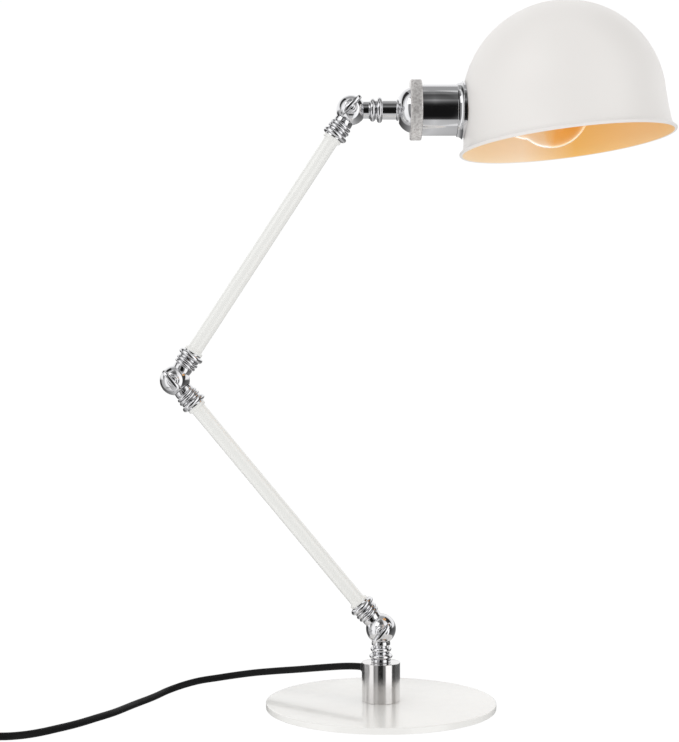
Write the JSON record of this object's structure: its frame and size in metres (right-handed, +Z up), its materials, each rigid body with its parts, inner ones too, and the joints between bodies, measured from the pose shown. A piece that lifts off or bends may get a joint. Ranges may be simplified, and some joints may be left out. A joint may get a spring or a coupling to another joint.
{
  "type": "swing arm desk lamp",
  "caption": "Desk lamp with a round flat base, lacquered tube arms on chromed clamping knuckles, and a domed metal shade on a side-mounted lampholder, with its mains cord and plug.",
  "frame": {"origin": "on the table, under the centre of the round base", "axes": "+Z up; +X from the base towards the shade; the knuckles turn about Y"},
  "size_m": [0.681, 0.218, 0.5534],
  "materials": {
    "white_lacquer": "gloss white lacquer",
    "shade_lacquer": "satin white outside, warm glowing white inside",
    "chrome_plate": "mirror polished chrome plate",
    "satin_nickel": "satin turned metal",
    "plain_steel": "zinc plated steel",
    "foam_pad": "matt black foam rubber",
    "fibre": "dark fibre washer",
    "lead_sleeve": "ivory sleeved wires",
    "holder_core": "glazed ceramic",
    "brass_contact": "bright brass",
    "bulb_metal": "rolled aluminium cap",
    "bulb_clear": "clear warm glass",
    "bulb_inner": "glass stem and glowing filament",
    "cord_sheath": "matt black PVC",
    "black_rubber": "soft black rubber",
    "switch_black": "moulded black plastic",
    "rocker_grey": "glossy dark rocker",
    "tie_grey": "plain tie",
    "pin_metal": "nickel plated brass"
  },
  "bodies": {
    "base": {"base_pad": "foam_pad", "base_plate": "white_lacquer", "base_screws": "plain_steel", "base_collar": "chrome_plate", "cord_relief": "black_rubber", "relief_nut": "plain_steel", "base_lead": "lead_sleeve", "power_cord": "cord_sheath", "switch_case": "switch_black", "switch_lid": "switch_black", "switch_tail": "cord_sheath", "cord_coil": "cord_sheath", "cord_tie": "tie_grey", "plug_lead": "cord_sheath", "plug_body": "switch_black", "plug_pins": "pin_metal"},
    "post": {"post_stem": "chrome_plate", "swivel_washer": "plain_steel", "swivel_nut": "plain_steel", "lower_washer": "fibre"},
    "lower_arm": {"lower_arm_foot": "chrome_plate", "lower_arm_tube": "white_lacquer", "lower_arm_top": "chrome_plate", "lower_lead": "lead_sleeve", "mid_washer": "fibre"},
    "upper_arm": {"upper_arm_foot": "chrome_plate", "upper_arm_tube": "white_lacquer", "upper_arm_top": "chrome_plate", "upper_lead": "lead_sleeve", "upper_washer": "fibre"},
    "head": {"head_stem": "chrome_plate", "head_lead": "lead_sleeve", "socket_cap": "chrome_plate", "socket_ring": "satin_nickel", "socket_shell": "chrome_plate", "lampholder_core": "holder_core", "screw_shell": "brass_contact", "centre_contact": "brass_contact", "shade_gallery": "chrome_plate", "shade_ring": "satin_nickel", "shade": "shade_lacquer", "bulb_cap": "bulb_metal", "bulb_stem": "bulb_inner", "bulb_glass": "bulb_clear"},
    "lower_wing": {"lower_wing_screw": "chrome_plate"},
    "mid_wing": {"mid_wing_screw": "chrome_plate"},
    "upper_wing": {"upper_wing_screw": "chrome_plate"},
    "rocker": {"switch_rocker": "rocker_grey"}
  },
  "joints": [
    {"name": "post_swivel", "type": "hinge", "parent": "base", "child": "post", "pos_m": [0, 0, 0.0364], "axis": [0, 0, 1], "range_deg": [-170, 170]},
    {"name": "lower_knuckle", "type": "hinge", "parent": "post", "child": "lower_arm", "pos_m": [0, 0, 0.0625], "axis": [0, 1, 0], "range_deg": [-35, 30]},
    {"name": "mid_knuckle", "type": "hinge", "parent": "lower_arm", "child": "upper_arm", "pos_m": [-0.16161, 0, 0.25716], "axis": [0, 1, 0], "range_deg": [-72, 28]},
    {"name": "upper_knuckle", "type": "hinge", "parent": "upper_arm", "child": "head", "pos_m": [-0.02344, 0, 0.4691], "axis": [0, 1, 0], "range_deg": [-75, 45]},
    {"name": "lower_wing_turn", "type": "hinge", "parent": "post", "child": "lower_wing", "pos_m": [0, 0, 0.0625], "axis": [0, -1, 0], "range_deg": [0, 180]},
    {"name": "mid_wing_turn", "type": "hinge", "parent": "lower_arm", "child": "mid_wing", "pos_m": [-0.16161, 0, 0.25716], "axis": [0, -1, 0], "range_deg": [0, 180]},
    {"name": "upper_wing_turn", "type": "hinge", "parent": "upper_arm", "child": "upper_wing", "pos_m": [-0.02344, 0, 0.4691], "axis": [0, -1, 0], "range_deg": [0, 180]},
    {"name": "rocker_tip", "type": "hinge", "parent": "base", "child": "rocker", "pos_m": [-0.335, -0.102, 0.01], "axis": [0, 1, 0], "range_deg": [-6, 6]}
  ]
}
